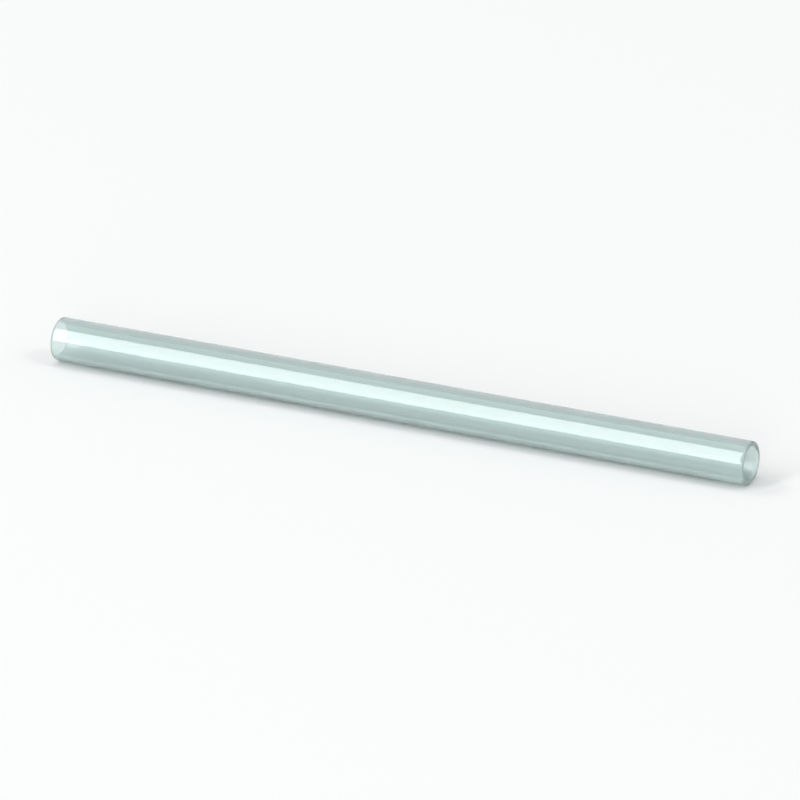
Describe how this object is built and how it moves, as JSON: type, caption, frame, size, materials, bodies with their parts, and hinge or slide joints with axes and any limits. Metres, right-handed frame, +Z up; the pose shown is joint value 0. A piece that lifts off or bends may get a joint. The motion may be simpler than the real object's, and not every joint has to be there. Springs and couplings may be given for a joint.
{
  "type": "glass capillary tube",
  "caption": "Short, straight glass capillary tube, open from end to end, with fire-polished rims and an even bore that holds a set volume between its tips.",
  "frame": {"origin": "on the surface that the tube lies on, below the middle of its length", "axes": "+X along the tube from tip to tip, +Z up from the surface it lies on, +Y across it"},
  "size_m": [0.032, 0.0018, 0.0019],
  "materials": {
    "glass": "clear drawn glass with a faint grey-green tint, smooth as drawn along the wall and fire-polished at the rims"
  },
  "bodies": {
    "root": {"capillary_tube": "glass"}
  },
  "joints": []
}
